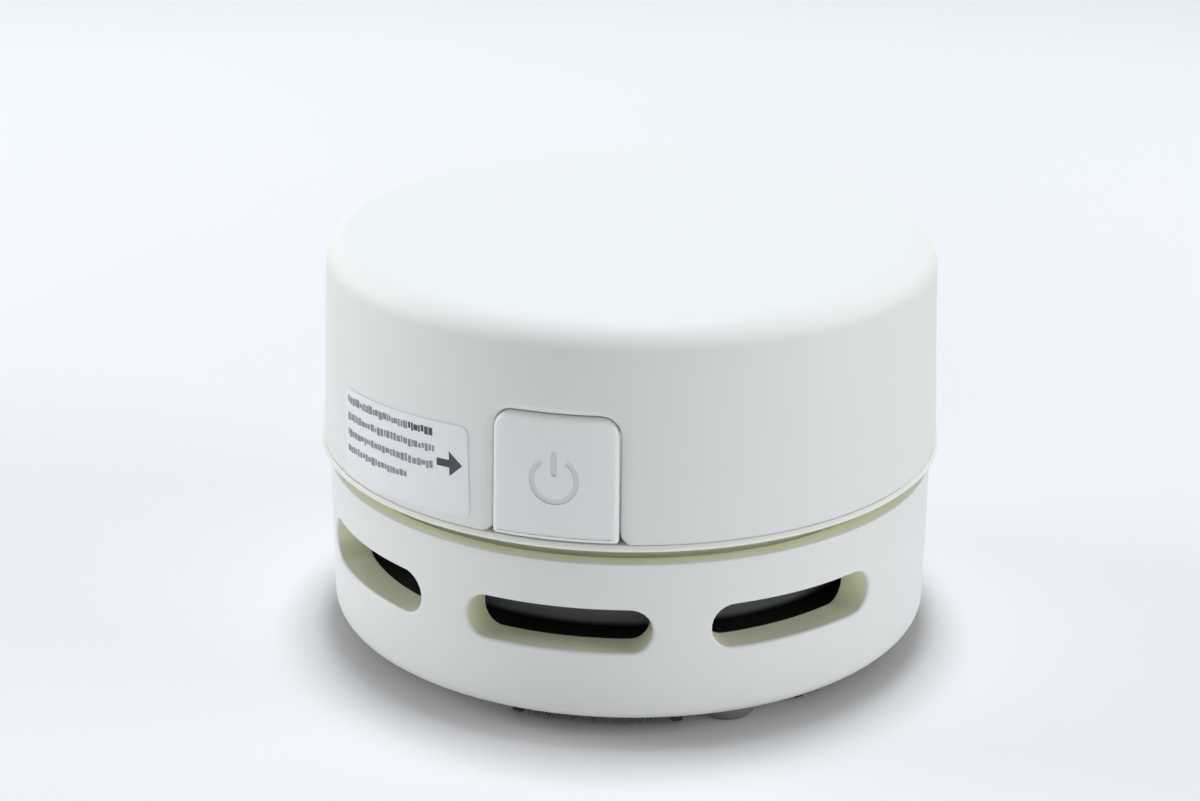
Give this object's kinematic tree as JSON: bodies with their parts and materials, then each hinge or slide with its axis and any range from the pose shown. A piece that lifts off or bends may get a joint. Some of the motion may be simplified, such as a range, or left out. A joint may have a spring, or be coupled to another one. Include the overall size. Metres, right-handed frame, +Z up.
{
  "type": "desktop vacuum cleaner",
  "caption": "Round drum-shaped desktop vacuum cleaner with a push button, lift-off cover, twist-off dust cup, exhaust slots, motor and fan.",
  "frame": {"origin": "on the table, on the drum axis", "axes": "+Z up along the drum axis, -Y out of the button, +X to the right of someone who faces the button"},
  "size_m": [0.0856, 0.0856, 0.0565],
  "materials": {
    "white_plastic": "satin moulded",
    "label_film": "printed film",
    "spring_steel": "drawn wire",
    "contact_plate": "nickel plated",
    "cell_skin": "shrink film",
    "motor_steel": "drawn sheet",
    "motor_plastic": "moulded",
    "magnet": "sintered",
    "bronze": "sintered bronze",
    "carbon": "carbon",
    "core_steel": "laminated",
    "copper": "turned copper",
    "shaft_steel": "ground",
    "fan_plastic": "moulded",
    "switch_plastic": "moulded",
    "lead_red": "insulated wire",
    "lead_black": "insulated wire",
    "dark_plastic": "smooth moulded",
    "screw_steel": "zinc plated",
    "soft_rubber": "moulded",
    "filter_cloth": "fine woven mesh",
    "bristle": "nylon strands"
  },
  "bodies": {
    "housing": {"middle_frame": "white_plastic", "button_spring": "spring_steel", "battery_tray": "white_plastic", "battery_left": "cell_skin", "battery_right": "cell_skin", "contact_plus": "contact_plate", "contact_minus": "contact_plate", "contact_bridge": "contact_plate", "cell_spring_left": "spring_steel", "cell_spring_right": "spring_steel", "motor_can": "motor_steel", "motor_end": "motor_plastic", "motor_magnets": "magnet", "motor_bushes": "bronze", "motor_brushes": "carbon", "motor_terminals": "copper", "switch_case": "switch_plastic", "lead_battery": "lead_red", "lead_switch": "lead_red", "lead_return": "lead_black", "fan_case": "dark_plastic", "case_screws": "screw_steel", "tray_screws": "screw_steel", "motor_screws": "screw_steel"},
    "cover": {"top_cover": "white_plastic", "cover_label": "label_film"},
    "button": {"power_button": "white_plastic"},
    "plunger": {"switch_plunger": "fan_plastic"},
    "cup": {"dust_cup": "white_plastic", "base_plate": "white_plastic", "filter_seal": "soft_rubber", "filter_frame": "dark_plastic", "filter_mesh": "filter_cloth", "base_screws": "screw_steel", "glide_feet": "soft_rubber", "brush_1": "bristle", "brush_2": "bristle", "brush_3": "bristle", "brush_4": "bristle", "brush_5": "bristle", "brush_6": "bristle"},
    "rotor": {"motor_armature": "core_steel", "motor_commutator": "copper", "motor_shaft": "shaft_steel", "fan_wheel": "fan_plastic"}
  },
  "joints": [
    {"name": "cover_lift", "type": "slide", "parent": "housing", "child": "cover", "axis": [0, 0, 1], "range_m": [0, 0.0275]},
    {"name": "button_press", "type": "slide", "parent": "housing", "child": "button", "axis": [0, 1, 0], "range_m": [0, 0.0018], "stiffness_N_per_m": 300, "springref_m": -0.002, "deforming": ["button_spring"]},
    {"name": "plunger_press", "type": "slide", "parent": "housing", "child": "plunger", "axis": [0, 1, 0], "range_m": [0, 0.0018]},
    {"name": "cup_twist", "type": "hinge", "parent": "housing", "child": "cup", "pos_m": [0, 0, 0], "axis": [0, 0, 1], "range_deg": [0, 24]},
    {"name": "fan_spin", "type": "hinge", "parent": "housing", "child": "rotor", "pos_m": [0, 0, 0.02], "axis": [0, 0, 1], "continuous": true}
  ],
  "couplings": [
    {"joint": "plunger_press", "follows": "button_press", "ratio": 1}
  ]
}
